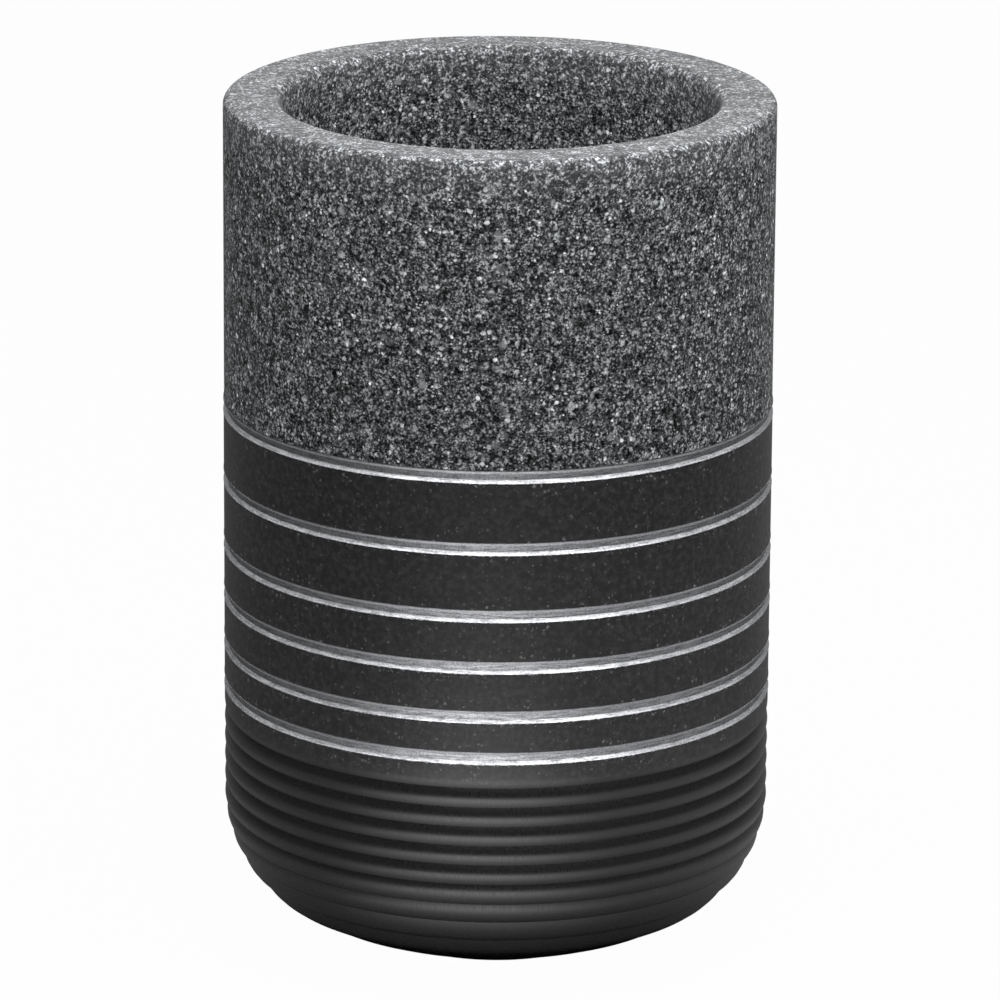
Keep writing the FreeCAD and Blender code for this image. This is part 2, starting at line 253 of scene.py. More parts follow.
def coat_section(sizes):
    """Closed section of the black coat: its outside up, and its inside down."""
    inside = ribbed_wall(sizes) + [(CUP_RADIUS, COAT_HIGH.z)]
    return grow(inside, SKIN) + inside[::-1]


# The silver's belly above its fold: its depth as a share of the hollow, and its height above the
# groove's middle as a share of half the mouth
BELLY_DEPTH = 0.8
BELLY_HEIGHT = 0.5


def silver_section(sizes, box):
    """Closed section of a silver line: seat in the lacquered groove, a face folded in along a
    line below the middle, and an edge past each lip."""
    height = line_height(sizes, box)
    across, radius, lip = groove(sizes, SKIN)
    seat = groove_arc(height, across, radius, lip)
    bead = (SILVER_RADIUS - COAT_RADIUS) / 2
    middle = (SILVER_RADIUS + COAT_RADIUS) / 2
    top = height + lip + sizes.upper_overlap
    bottom = height - lip - sizes.lower_overlap
    fold = (SILVER_RADIUS - sizes.silver_hollow, height - sizes.silver_fold)
    belly = (SILVER_RADIUS - BELLY_DEPTH * sizes.silver_hollow, height + BELLY_HEIGHT * lip)
    face = [(SILVER_RADIUS, height + lip), belly, fold, (SILVER_RADIUS, height - lip)]
    upper_edge = arc((middle, top - bead), bead, 180, 0, PAINT_EDGE_STEPS)
    lower_edge = arc((middle, bottom + bead), bead, 0, -180, PAINT_EDGE_STEPS)
    return (seat + upper_edge + face + lower_edge)[::-1]


# Node trees

def add(tree, kind, inputs=None, **settings):
    """Add a node, with its settings. Each named input takes a value, another node's output, or a
    node, for its first output in use. From and To take a pair, for their Min and Max."""
    made = tree.nodes.new(kind)
    for name, setting in settings.items():
        setattr(made, name, setting)
    given = dict(inputs or {})
    for ends in ("From", "To"):
        if ends in given:
            given[ends + " Min"], given[ends + " Max"] = given.pop(ends)
    for name, source in given.items():
        if isinstance(source, bpy.types.Node):
            source = next(output for output in source.outputs if output.enabled)
        if isinstance(source, bpy.types.NodeSocket):
            tree.links.new(source, made.inputs[name])
        else:
            made.inputs[name].default_value = source
    return made


def new_tree(name, inputs):
    """A geometry tree with named inputs. Gives the tree and its input node's outputs."""
    tree = bpy.data.node_groups.new(name, "GeometryNodeTree")
    for label, kind in inputs:
        tree.interface.new_socket(label, in_out="INPUT", socket_type="NodeSocket" + kind)
    tree.interface.new_socket("Geometry", in_out="OUTPUT", socket_type="NodeSocketGeometry")
    return tree, add(tree, "NodeGroupInput").outputs


# Radius of the circle that sections are swept along, how close two points are the same, and the
# angle past which an edge is left sharp
PATH_RADIUS = 10 * MM
WELD = 0.0005 * MM
SHARP_ANGLE = math.radians(21)


def turned(tree, value):
    """Sweep the section among a tree's inputs, drawn with X as distance and Z as height, once
    round the axis. The piece lies to the left of the section's run, and its faces look outward."""
    place = add(tree, "GeometryNodeInputPosition")
    split = add(tree, "ShaderNodeSeparateXYZ", {"Vector": place})
    reach = add(tree, "ShaderNodeMath", {0: split.outputs["X"], 1: PATH_RADIUS},
                operation="SUBTRACT")
    height = add(tree, "ShaderNodeMath", {0: split.outputs["Z"], 1: -1.0}, operation="MULTIPLY")
    flat = add(tree, "ShaderNodeCombineXYZ", {"X": reach, "Y": height})
    profile = add(tree, "GeometryNodeMeshToCurve", {"Mesh": value["Section"]})
    laid = add(tree, "GeometryNodeSetPosition", {"Geometry": profile, "Position": flat})
    circle = add(tree, "GeometryNodeCurvePrimitiveCircle",
                 {"Resolution": value["Turns"], "Radius": PATH_RADIUS})
    upright = add(tree, "GeometryNodeSetCurveNormal", {"Curve": circle}, mode="Z_UP")
    swept = add(tree, "GeometryNodeCurveToMesh", {"Curve": upright, "Profile Curve": laid})
    outward = add(tree, "GeometryNodeFlipFaces", {"Mesh": swept})
    closed = add(tree, "GeometryNodeMergeByDistance", {"Geometry": outward, "Distance": WELD})
    edge = add(tree, "GeometryNodeInputMeshEdgeAngle")
    gentle = add(tree, "FunctionNodeCompare", {"A": edge, "B": value["Sharp angle"]},
                 operation="LESS_THAN")
    smooth = add(tree, "GeometryNodeSetShadeSmooth", {"Geometry": closed})
    return add(tree, "GeometryNodeSetShadeSmooth", {"Geometry": smooth, "Shade Smooth": gentle},
               domain="EDGE")


def finish_tree(tree, geometry, material):
    """End a tree in real geometry with its material."""
    real = add(tree, "GeometryNodeRealizeInstances", {"Geometry": geometry})
    dressed = add(tree, "GeometryNodeSetMaterial", {"Geometry": real, "Material": material})
    add(tree, "NodeGroupOutput", {"Geometry": dressed})


def turned_tree():
    """Tree of a plain turned piece."""
    tree, value = new_tree("turned_piece", (("Section", "Geometry"), ("Turns", "Int"),
                                            ("Sharp angle", "Float"), ("Material", "Material")))
    finish_tree(tree, turned(tree, value), value["Material"])
    return tree


# The silver's lower edge: how fine its wander is broken, how rough, and the span of the noise
# over which the paint goes from its full fall to none
RAG_DETAIL = 3.0
RAG_ROUGHNESS = 0.75
RAG_SPAN = (0.45, 0.72)

# Stray flecks of silver: how far they fall below a line, how few fall far, half their thickness,
# and half their least and greatest width
FLECK_FALL = 0.8 * MM
FLECK_RARITY = 2.5
FLECK_THICKNESS = 0.02 * MM
FLECK_WIDTHS = (0.02 * MM, 0.07 * MM)


def silver_tree():
    """Tree of a silver line: a turned strip whose lower edge wanders, with stray flecks under
    it."""
    tree, value = new_tree("silver_line", (
        ("Section", "Geometry"), ("Turns", "Int"), ("Sharp angle", "Float"),
        ("Lower lip", "Float"), ("Overlap", "Float"), ("Rag", "Float"), ("Rag step", "Float"),
        ("Flecks", "Int"), ("Fleck radius", "Float"), ("Seed", "Int"), ("Material", "Material")))
    strip = turned(tree, value)
    place = add(tree, "GeometryNodeInputPosition")
    split = add(tree, "ShaderNodeSeparateXYZ", {"Vector": place})
    end = add(tree, "ShaderNodeMath", {0: value["Lower lip"], 1: value["Overlap"]},
              operation="SUBTRACT")
    past = add(tree, "ShaderNodeMapRange", {"Value": split.outputs["Z"],
                                            "From": (value["Lower lip"], end)})
    level = add(tree, "ShaderNodeCombineXYZ", {"X": split.outputs["X"], "Y": split.outputs["Y"],
                                               "Z": value["Seed"]})
    fineness = add(tree, "ShaderNodeMath", {0: 1.0, 1: value["Rag step"]}, operation="DIVIDE")
    wander = add(tree, "ShaderNodeTexNoise", {"Vector": level, "Scale": fineness,
                                              "Detail": RAG_DETAIL, "Roughness": RAG_ROUGHNESS})
    drip = add(tree, "ShaderNodeMapRange", {"Value": wander, "From": RAG_SPAN, "To": (1.0, 0.0)})
    reach = add(tree, "ShaderNodeMath", {0: drip, 1: value["Rag"]}, operation="MULTIPLY")
    drop = add(tree, "ShaderNodeMath", {0: reach, 1: past}, operation="MULTIPLY")
    shift = add(tree, "ShaderNodeCombineXYZ", {"Z": drop})
    ragged = add(tree, "GeometryNodeSetPosition", {"Geometry": strip, "Offset": shift})

    points = add(tree, "GeometryNodePoints", {"Count": value["Flecks"]})
    turn = add(tree, "FunctionNodeRandomValue", {"Min": 0.0, "Max": math.tau,
                                                 "Seed": value["Seed"]}, data_type="FLOAT")
    fall = add(tree, "FunctionNodeRandomValue", {"Min": 0.0, "Max": 1.0, "Seed": value["Seed"],
                                                 "ID": turn}, data_type="FLOAT")
    steep = add(tree, "ShaderNodeMath", {0: fall, 1: FLECK_RARITY}, operation="POWER")
    drop_to = add(tree, "ShaderNodeMath", {0: steep, 1: FLECK_FALL}, operation="MULTIPLY")
    sits = add(tree, "ShaderNodeMath", {0: end, 1: drop_to}, operation="SUBTRACT")
    cosine = add(tree, "ShaderNodeMath", {0: turn}, operation="COSINE")
    sine = add(tree, "ShaderNodeMath", {0: turn}, operation="SINE")
    across = add(tree, "ShaderNodeMath", {0: cosine, 1: value["Fleck radius"]},
                 operation="MULTIPLY")
    along = add(tree, "ShaderNodeMath", {0: sine, 1: value["Fleck radius"]},
                operation="MULTIPLY")
    spot = add(tree, "ShaderNodeCombineXYZ", {"X": across, "Y": along, "Z": sits})
    placed = add(tree, "GeometryNodeSetPosition", {"Geometry": points, "Position": spot})
    fleck = add(tree, "GeometryNodeMeshIcoSphere", {"Radius": 1.0, "Subdivisions": 1})
    least, most = [(FLECK_THICKNESS, width, width) for width in FLECK_WIDTHS]
    size = add(tree, "FunctionNodeRandomValue", {"Min": least, "Max": most,
                                                 "Seed": value["Seed"]},
               data_type="FLOAT_VECTOR")
    facing = add(tree, "ShaderNodeCombineXYZ", {"Z": turn})
    strewn = add(tree, "GeometryNodeInstanceOnPoints", {
        "Points": placed, "Instance": fleck, "Rotation": facing, "Scale": size})
    both = add(tree, "GeometryNodeJoinGeometry")
    for part in (ragged, strewn):
        tree.links.new(part.outputs[0], both.inputs[0])
    finish_tree(tree, both, value["Material"])
    return tree


def grown(name, section, closed, tree, inputs):
    """Turn a section into a finished plain mesh object by a geometry tree with the given
    inputs."""
    line = bpy.data.meshes.new(name + "_section")
    count = len(section)
    edges = [(i, i + 1) for i in range(count - 1)] + ([(count - 1, 0)] if closed else [])
    line.from_pydata([(across, 0.0, up) for across, up in section], edges, [])
    draft = bpy.data.objects.new(name + "_draft", line)
    bpy.context.scene.collection.objects.link(draft)
    modifier = draft.modifiers.new("grow", "NODES")
    modifier.node_group = tree
    sockets = {item.name: item.identifier for item in tree.interface.items_tree
               if item.in_out == "INPUT"}
    for label, given in inputs.items():
        modifier[sockets[label]] = given
    graph = bpy.context.evaluated_depsgraph_get()
    mesh = bpy.data.meshes.new_from_object(draft.evaluated_get(graph), depsgraph=graph)
    bpy.data.objects.remove(draft)
    if not mesh.polygons:
        raise RuntimeError(name + " came out empty")
    mesh.name = name
    piece = bpy.data.objects.new(name, mesh)
    bpy.context.scene.collection.objects.link(piece)
    return piece


def turn_piece(scene, name, section, closed, material):
    """A plain turned piece from its section."""
    tree = bpy.data.node_groups.get("turned_piece") or turned_tree()
    return grown(name, section, closed, tree, {
        "Turns": scene.tumbler_counts.turns, "Sharp angle": SHARP_ANGLE, "Material": material})


def dress(piece, node):
    """Let a piece stand for its CAD node and ride on the one body."""
    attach(piece, "root")
    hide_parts(node)


# Materials. Every pattern is drawn in millimetres: a scale is a count to the millimetre, and a
# span is where a value starts and where it ends.

def open_material(name):
    """A new material. Gives it, its tree and the place on the piece in millimetres."""
    material = bpy.data.materials.new(name)
    material.use_nodes = True
    tree = material.node_tree
    tree.nodes.clear()
    place = add(tree, "ShaderNodeTexCoord")
    millimetres = add(tree, "ShaderNodeVectorMath",
                      {0: place.outputs["Object"], "Scale": 1 / MM}, operation="SCALE")
    return material, tree, millimetres


def close_material(tree, inputs):
    """End a material's tree in a principled shader with the given inputs."""
    add(tree, "ShaderNodeOutputMaterial",
        {"Surface": add(tree, "ShaderNodeBsdfPrincipled", inputs)})


def stirred(tree, place, scale, push):
    """A place pushed about by noise, so that the cells of a pattern lose their even spacing."""
    stir = add(tree, "ShaderNodeTexNoise", {"Vector": place, "Scale": scale, "Detail": 1.0})
    return add(tree, "ShaderNodeVectorMath", {0: stir.outputs["Color"], 1: (push,) * 3, 2: place},
               operation="MULTIPLY_ADD")


def clouds(tree, place, scale, span, levels, **noise):
    """Soft noise that goes from one level to another over a span of its own values."""
    cloud = add(tree, "ShaderNodeTexNoise", {"Vector": place, "Scale": scale, **noise})
    return add(tree, "ShaderNodeMapRange", {"Value": cloud, "From": span, "To": levels})


def spots(tree, place, scale, channel, chance, radii, blur, levels):
    """Round spots, at most one to a cell. A channel of the cell's own random colour, over the
    span of its chance, deals its spot a radius. Gives the level, which goes from outside a spot
    to its middle, and the cell's colour."""
    cells = add(tree, "ShaderNodeTexVoronoi", {"Vector": place, "Scale": scale})
    lot = add(tree, "ShaderNodeSeparateColor", {"Color": cells.outputs["Color"]})
    radius = add(tree, "ShaderNodeMapRange", {"Value": lot.outputs[channel], "From": chance,
                                              "To": radii})
    within = add(tree, "ShaderNodeMath", {0: radius, 1: cells}, operation="SUBTRACT")
    level = add(tree, "ShaderNodeMapRange", {"Value": within, "From": (0.0, blur), "To": levels})
    return level, lot


# Stone, with scales to the width of a grain: the stir of its grains, the patches in which they
# crowd, and the clouds of the resin, each with its strength
STONE_STIR = 0.7
STONE_PUSH = 1.5
PATCH_SCALE = 0.16
PATCH_SPAN = (0.36, 0.62)
PATCH_CROWDS = (0.25, 1.5)
RESIN_CLOUDS = ((0.2, 0.35), (0.45, 0.7), (0.9, 0.75), (1.8, 0.35))

# Usual spread of noise about its middle, and how many times its middle grey the resin may reach
NOISE_SPREAD = 0.11
RESIN_LIMIT = 8.0

# Painted light at the rim, in millimetres above it: where it starts and is full, the share of the
# rim's colour that it adds, how it lifts the resin, and how it sinks the grains
PAINTED_RIM_LIGHT_SPAN = (-7.0, 0.4)
PAINTED_RIM_LIGHT_SHARE = 0.12
PAINTED_RIM_LIGHT_LIFT = 4.2
PAINTED_RIM_LIGHT_SINK = -3.0

# Black grains: how many, how wide, how soft and how dark
BLACK_SCALE = 0.4
BLACK_CHANCE = (0.72, 1.0)
BLACK_RADII = (0.0, 0.75)
BLACK_BLUR = 0.25
BLACK_LEVELS = (1.0, 0.12)

# Pale grains: each size with its strength, how wide and how soft, and how few are bright
PALE_SIZES = ((0.2, 0.22), (0.4, 0.72), (0.7, 0.75))
PALE_RADII = (0.2, 0.55)
PALE_BLUR = 0.22
PALE_RARITY = 3.0


def cast_stone_resin(colours, sizes):
    """Polyester resin cast with crushed stone: soft grey resin with black grains and pale grains of
    every size in it, closer together in some patches. Near the rim the stone is painted paler and
    its grains fainter, a painted glow that stands in for light getting in from the top."""
    material, tree, place = open_material("cast_stone_resin")
    grain = sizes.grit / MM
    mixed = stirred(tree, place, STONE_STIR / grain, STONE_PUSH * grain)
    crowd = clouds(tree, place, PATCH_SCALE / grain, PATCH_SPAN, PATCH_CROWDS, Detail=2.0)
    total = 0.0
    for scale, strength in RESIN_CLOUDS:
        cloud = add(tree, "ShaderNodeTexNoise", {"Vector": place, "Scale": scale / grain,
                                                 "Detail": 1.0})
        total = add(tree, "ShaderNodeMath", {0: cloud, 1: strength / NOISE_SPREAD, 2: total},
                    operation="MULTIPLY_ADD")
    middle = sum(strength for scale, strength in RESIN_CLOUDS) / NOISE_SPREAD / 2
    centred = add(tree, "ShaderNodeMath", {0: total, 1: middle}, operation="SUBTRACT")
    times = add(tree, "ShaderNodeMath", {0: colours.grain_spread, 1: centred}, operation="POWER")
    capped = add(tree, "ShaderNodeMath", {0: times, 1: RESIN_LIMIT}, operation="MINIMUM")

    split = add(tree, "ShaderNodeSeparateXYZ", {"Vector": place})
    # Painted rim light: the stone is painted paler towards the rim, and its pale grains fainter
    edge = add(tree, "ShaderNodeMapRange", {
        "Value": split.outputs["Z"], "From": [CUP_HIGH.z / MM + end for end in PAINTED_RIM_LIGHT_SPAN],
        "To": (0.0, PAINTED_RIM_LIGHT_SHARE)}, interpolation_type="SMOOTHSTEP")
    painted_rim_lift = add(tree, "ShaderNodeMath", {0: edge, 1: PAINTED_RIM_LIGHT_LIFT, 2: 1.0},
                 operation="MULTIPLY_ADD")
    painted_rim_sink = add(tree, "ShaderNodeMath", {0: edge, 1: PAINTED_RIM_LIGHT_SINK, 2: 1.0}, operation="MULTIPLY_ADD")

    dark = spots(tree, mixed, BLACK_SCALE / grain, "Red", BLACK_CHANCE, BLACK_RADII, BLACK_BLUR,
                 BLACK_LEVELS)[0]
    toned = add(tree, "ShaderNodeMath", {0: capped, 1: dark}, operation="MULTIPLY")
    lighter = add(tree, "ShaderNodeMath", {0: toned, 1: painted_rim_lift}, operation="MULTIPLY")
    stone = add(tree, "ShaderNodeVectorMath", {0: tuple(colours.stone), "Scale": lighter},
                operation="SCALE")
    for scale, strength in PALE_SIZES:
        core, lot = spots(tree, mixed, scale / grain, "Green", (0.0, 1.0), PALE_RADII, PALE_BLUR,
                          (0.0, strength))
        few = add(tree, "ShaderNodeMath", {0: lot.outputs["Blue"], 1: PALE_RARITY},
                  operation="POWER")
        crowded = add(tree, "ShaderNodeMath", {0: few, 1: crowd}, operation="MULTIPLY")
        seen = add(tree, "ShaderNodeMath", {0: core, 1: painted_rim_sink}, operation="MULTIPLY")
        shine = add(tree, "ShaderNodeMath", {0: crowded, 1: seen}, operation="MULTIPLY")
        stone = add(tree, "ShaderNodeVectorMath", {0: shine, 1: tuple(colours.grain), 2: stone},
                    operation="MULTIPLY_ADD")
    base = add(tree, "ShaderNodeMix", {"Factor": edge, "A": stone, "B": (*colours.rim, 1.0)},
               data_type="RGBA")
    close_material(tree, {"Base Color": base, "Roughness": 0.4, "IOR": 1.5,
                          "Specular IOR Level": 0.06})
    return material


# Specks in the lacquer: their shares near a silver line's middle and farther off, in
# millimetres, the stir and the count of them, their chance, width, softness and strength
NEAR_SPAN = (0.9, 3.0)
NEAR_SHARES = (1.2, 0.35)
FAR_OFF = 100.0
SPECK_STIR = 3.0
SPECK_PUSH = 0.5
SPECK_SCALE = 2.1
SPECK_CHANCE = (0.5, 1.0)
SPECK_RADII = (0.0, 0.55)
SPECK_BLUR = 0.3
SPECK_STRENGTH = 0.75

# Drifts of pale dust in the lacquer, and patches in which its specks crowd
DRIFT_SCALE = 1.3
DRIFT_SPAN = (0.42, 0.68)
DRIFT_LEVELS = (0.0, 0.13)
CROWD_SCALE = 0.35
CROWD_SPAN = (0.35, 0.65)
CROWD_LEVELS = (0.2, 1.3)

# Where the ribs end and the matt band starts, in millimetres above the last valley, the marks
# across the ribs, drawn coarser than real so that they show, and how rough both are
BAND_BLEND = 0.8
MARK_SCALES = (6.0, 6.0, 0.6)
MARK_SPAN = (0.3, 0.7)
RIB_ROUGHNESS = (0.24, 0.4)
BAND_ROUGHNESS = 0.4


def sprayed_black_lacquer(colours, sizes):
    """Black lacquer sprayed over the cast cup: matt on the straight band, with pale specks that
    gather near the silver, and satin on the ribs, with fine marks across them."""
    material, tree, place = open_material("sprayed_black_lacquer")
    split = add(tree, "ShaderNodeSeparateXYZ", {"Vector": place})
    nearest = FAR_OFF
    for box in SILVER_BOXES:
        off = add(tree, "ShaderNodeMath", {0: split.outputs["Z"],
                                           1: line_height(sizes, box) / MM},
                  operation="SUBTRACT")
        apart = add(tree, "ShaderNodeMath", {0: off}, operation="ABSOLUTE")
        nearest = add(tree, "ShaderNodeMath", {0: apart, 1: nearest}, operation="MINIMUM")
    near = add(tree, "ShaderNodeMapRange", {"Value": nearest, "From": NEAR_SPAN,
                                            "To": NEAR_SHARES})
    mixed = stirred(tree, place, SPECK_STIR, SPECK_PUSH)
    shown = spots(tree, mixed, SPECK_SCALE, "Red", SPECK_CHANCE, SPECK_RADII, SPECK_BLUR,
                  (0.0, 1.0))[0]
    drift = clouds(tree, place, DRIFT_SCALE, DRIFT_SPAN, DRIFT_LEVELS, Detail=3.0, Roughness=0.6)
    crowd = clouds(tree, place, CROWD_SCALE, CROWD_SPAN, CROWD_LEVELS, Detail=1.0)
    crowded = add(tree, "ShaderNodeMath", {0: near, 1: crowd}, operation="MULTIPLY")
    rib_top = (CUP_LOW.z + sizes.rib_start + sizes.rib_width * WALL_RIBS) / MM
    band = add(tree, "ShaderNodeMapRange", {"Value": split.outputs["Z"],
                                            "From": (rib_top, rib_top + BAND_BLEND)})
    speck = add(tree, "ShaderNodeMath", {0: shown, 1: crowded}, operation="MULTIPLY")
    pale = add(tree, "ShaderNodeMath", {0: speck, 1: SPECK_STRENGTH, 2: drift},
               operation="MULTIPLY_ADD")
    share = add(tree, "ShaderNodeMath", {0: pale, 1: band}, operation="MULTIPLY")
    base = add(tree, "ShaderNodeMix", {"Factor": share, "A": (*colours.lacquer, 1.0),
                                       "B": (*colours.fleck, 1.0)}, data_type="RGBA")
    stretched = add(tree, "ShaderNodeVectorMath", {0: place, 1: MARK_SCALES},
                    operation="MULTIPLY")
    satin = clouds(tree, stretched, 1.0, MARK_SPAN, RIB_ROUGHNESS, Detail=2.0)
    rough = add(tree, "ShaderNodeMix", {"Factor": band, "A": satin, "B": BAND_ROUGHNESS},
                data_type="FLOAT")
    close_material(tree, {"Base Color": base, "Roughness": rough, "IOR": 1.5})
    return material


# Silver paint: drag marks drawn out along the line, and the grain of its flakes
DRAG_SCALES = (0.5, 0.5, 4.5)
FLAKE_SCALE = 4.0
PAINT_SPAN = (0.75, 1.2)
PAINT_LEVELS = (0.6, 1.35)
GLOSS_SPAN = (0.7, 1.15)
GLOSS_ROUGHNESS = (0.5, 0.36)
PAINT_BUMP = 0.05 * MM

# Painted light and shade on the silver, by the upward share of a face's normal: painted shade,
# least colour, where the face turns down a little, and a painted highlight, most colour, where it
# turns steeply down by a lip
PAINTED_SHADE_TILT = 0.15
PAINTED_SHADE_SPAN = (0.05, 0.4)
PAINTED_SHADE_LEVELS = (0.65, 1.0)
PAINTED_HIGHLIGHT_SPAN = (-0.35, -0.6)


def hand_run_silver_paint(colours):
    """Metallic paint run into the grooves by hand: a soft, grainy silver with drag marks along the
    line. By the tilt of each face it is painted lighter at the lips, with a painted highlight where
    the face turns steeply down, and painted grey on the steep face between them, a painted shade."""
    material, tree, place = open_material("hand_run_silver_paint")
    stretched = add(tree, "ShaderNodeVectorMath", {0: place, 1: DRAG_SCALES},
                    operation="MULTIPLY")
    drag = add(tree, "ShaderNodeTexNoise", {"Vector": stretched, "Scale": 1.0, "Detail": 3.0})
    flakes = add(tree, "ShaderNodeTexNoise", {"Vector": place, "Scale": FLAKE_SCALE,
                                              "Detail": 2.0, "Roughness": 0.6})
    mixed = add(tree, "ShaderNodeMath", {0: drag, 1: flakes}, operation="ADD")
    shade = add(tree, "ShaderNodeMapRange", {"Value": mixed, "From": PAINT_SPAN,
                                             "To": PAINT_LEVELS})
    surface = add(tree, "ShaderNodeNewGeometry")
    way = add(tree, "ShaderNodeSeparateXYZ", {"Vector": surface.outputs["Normal"]})
    # Painted light and shade: the silver's colour is set by which way its face turns
    tilt = add(tree, "ShaderNodeMath", {0: way.outputs["Z"], 1: PAINTED_SHADE_TILT}, operation="ADD")
    slope = add(tree, "ShaderNodeMath", {0: tilt}, operation="ABSOLUTE")
    painted_shade = add(tree, "ShaderNodeMapRange", {"Value": slope, "From": PAINTED_SHADE_SPAN,
                                               "To": PAINTED_SHADE_LEVELS})
    lip = add(tree, "ShaderNodeMapRange", {"Value": way.outputs["Z"], "From": PAINTED_HIGHLIGHT_SPAN})
    painted_light_and_shade = add(tree, "ShaderNodeMath", {0: painted_shade, 1: lip}, operation="ADD")
    full = add(tree, "ShaderNodeMath", {0: shade, 1: painted_light_and_shade}, operation="MULTIPLY")
    base = add(tree, "ShaderNodeVectorMath", {0: tuple(colours.silver), "Scale": full},
               operation="SCALE")
    rough = add(tree, "ShaderNodeMapRange", {"Value": mixed, "From": GLOSS_SPAN,
                                             "To": GLOSS_ROUGHNESS})
    bump = add(tree, "ShaderNodeBump", {"Height": mixed, "Strength": 0.6,
                                        "Distance": PAINT_BUMP})
    close_material(tree, {"Base Color": base, "Roughness": rough, "Metallic": 1.0,
                          "Normal": bump})
    return material


# Foam: its cells, how dark their middles are, and how deep
CELL_SCALE = 5.0
CELL_SPAN = (0.0, 0.6)
CELL_LEVELS = (0.6, 1.2)
CELL_BUMP = 0.05 * MM


def closed_cell_foam(colours):
    """EVA foam sheet, die cut: matt black with fine closed cells."""
    material, tree, place = open_material("closed_cell_foam")
    cells = add(tree, "ShaderNodeTexVoronoi", {"Vector": place, "Scale": CELL_SCALE})
    shade = add(tree, "ShaderNodeMapRange", {"Value": cells, "From": CELL_SPAN,
                                             "To": CELL_LEVELS})
    base = add(tree, "ShaderNodeVectorMath", {0: tuple(colours.foam), "Scale": shade},
               operation="SCALE")
    bump = add(tree, "ShaderNodeBump", {"Height": cells, "Strength": 0.4, "Distance": CELL_BUMP})
    close_material(tree, {"Base Color": base, "Roughness": 0.85, "IOR": 1.45, "Normal": bump})
    return material


# Adhesive: its cloudiness
HAZE_SCALE = 0.6
HAZE_SPAN = (0.3, 0.7)
HAZE_LEVELS = (0.85, 1.0)


def acrylic_adhesive(colours):
    """Double-sided acrylic film: pale, slightly glossy, with a faint cloudiness."""
    material, tree, place = open_material("acrylic_adhesive")
    shade = clouds(tree, place, HAZE_SCALE, HAZE_SPAN, HAZE_LEVELS, Detail=2.0)
    base = add(tree, "ShaderNodeVectorMath", {0: tuple(colours.adhesive), "Scale": shade},
               operation="SCALE")
    close_material(tree, {"Base Color": base, "Roughness": 0.35, "IOR": 1.47})
    return material


# Operators

class TUMBLER_OT_cast_cup(bpy.types.Operator):
    """Cast the cup: outer wall, rim, cavity and ribbed foot in stone-effect resin"""

    bl_idname = "tumbler.cast_cup"
    bl_label = "Cast cup"

    def execute(self, context):
        scene = context.scene
        sizes = scene.tumbler_sizes
        piece = turn_piece(scene, "cup_body_stone", cup_section(sizes), False,
                           cast_stone_resin(scene.tumbler_colours, sizes))
        dress(piece, "cup_body")
        return {"FINISHED"}


class TUMBLER_OT_spray_coat(bpy.types.Operator):
    """Spray the black coat over the lower half, in and out of the grooves and ribs"""

    bl_idname = "tumbler.spray_coat"
    bl_label = "Spray black coat"

    def execute(self, context):
        scene = context.scene
        sizes = scene.tumbler_sizes
        piece = turn_piece(scene, "black_coat_lacquer", coat_section(sizes), True,
                           sprayed_black_lacquer(scene.tumbler_colours, sizes))
        dress(piece, "black_coat")
        return {"FINISHED"}


class TUMBLER_OT_run_silver(bpy.types.Operator):
    """Run the six silver lines into their grooves, each with its own ragged edge and flecks"""

    bl_idname = "tumbler.run_silver"
    bl_label = "Run silver lines"

    def execute(self, context):
        scene = context.scene
        sizes, counts = scene.tumbler_sizes, scene.tumbler_counts
        tree = silver_tree()
        paint = hand_run_silver_paint(scene.tumbler_colours)
        lip = groove(sizes, SKIN)[2]
        for number, box in enumerate(SILVER_BOXES, 1):
            piece = grown("silver_line_%d_paint" % number, silver_section(sizes, box), True, tree, {
                "Turns": counts.silver_turns, "Sharp angle": SHARP_ANGLE,
                "Lower lip": line_height(sizes, box) - lip, "Overlap": sizes.lower_overlap,
                "Rag": sizes.rag, "Rag step": sizes.rag_step, "Flecks": counts.flecks,
                "Fleck radius": COAT_RADIUS, "Seed": number, "Material": paint})
            dress(piece, "silver_line_%d" % number)
        return {"FINISHED"}


class TUMBLER_OT_cut_pad(bpy.types.Operator):
    """Cut the foam pad that the tumbler stands on"""

    bl_idname = "tumbler.cut_pad"
    bl_label = "Cut pad"

    def execute(self, context):
        scene = context.scene
        bevel = scene.tumbler_sizes.pad_edge
        radius, low, high = PAD_HIGH.x, PAD_LOW.z, PAD_HIGH.z
        section = [(0.0, low), (radius - bevel, low), (radius, low + bevel), (radius, high),
                   (0.0, high)]
        pad = turn_piece(scene, "base_pad_foam", section, False,
                         closed_cell_foam(scene.tumbler_colours))
        dress(pad, "base_pad")
        return {"FINISHED"}


class TUMBLER_OT_lay_film(bpy.types.Operator):
    """Lay the adhesive film between the pad and the foot"""

    bl_idname = "tumbler.lay_film"
    bl_label = "Lay film"

    def execute(self, context):
        scene = context.scene
        radius, low, high = FILM_HIGH.x, FILM_LOW.z, FILM_HIGH.z
        section = [(0.0, low), (radius, low), (radius, high), (0.0, high)]
        film = turn_piece(scene, "pad_film_adhesive", section, False,
                          acrylic_adhesive(scene.tumbler_colours))
        dress(film, "pad_film")
        return {"FINISHED"}


# Camera: where it looks, how far it stands off, its angles in degrees, its lens in millimetres
# and the depths that it sees
LOOK_HEIGHT = 67.92 * MM
STAND_OFF = 954.7 * MM
ELEVATION = 15.765
EXTRA_PITCH = 0.602
YAW = 0.02
ROLL = 0.376
LENS = 266.5
SENSOR = 36.0
NEAR_CLIP, FAR_CLIP = 0.01, 20.0


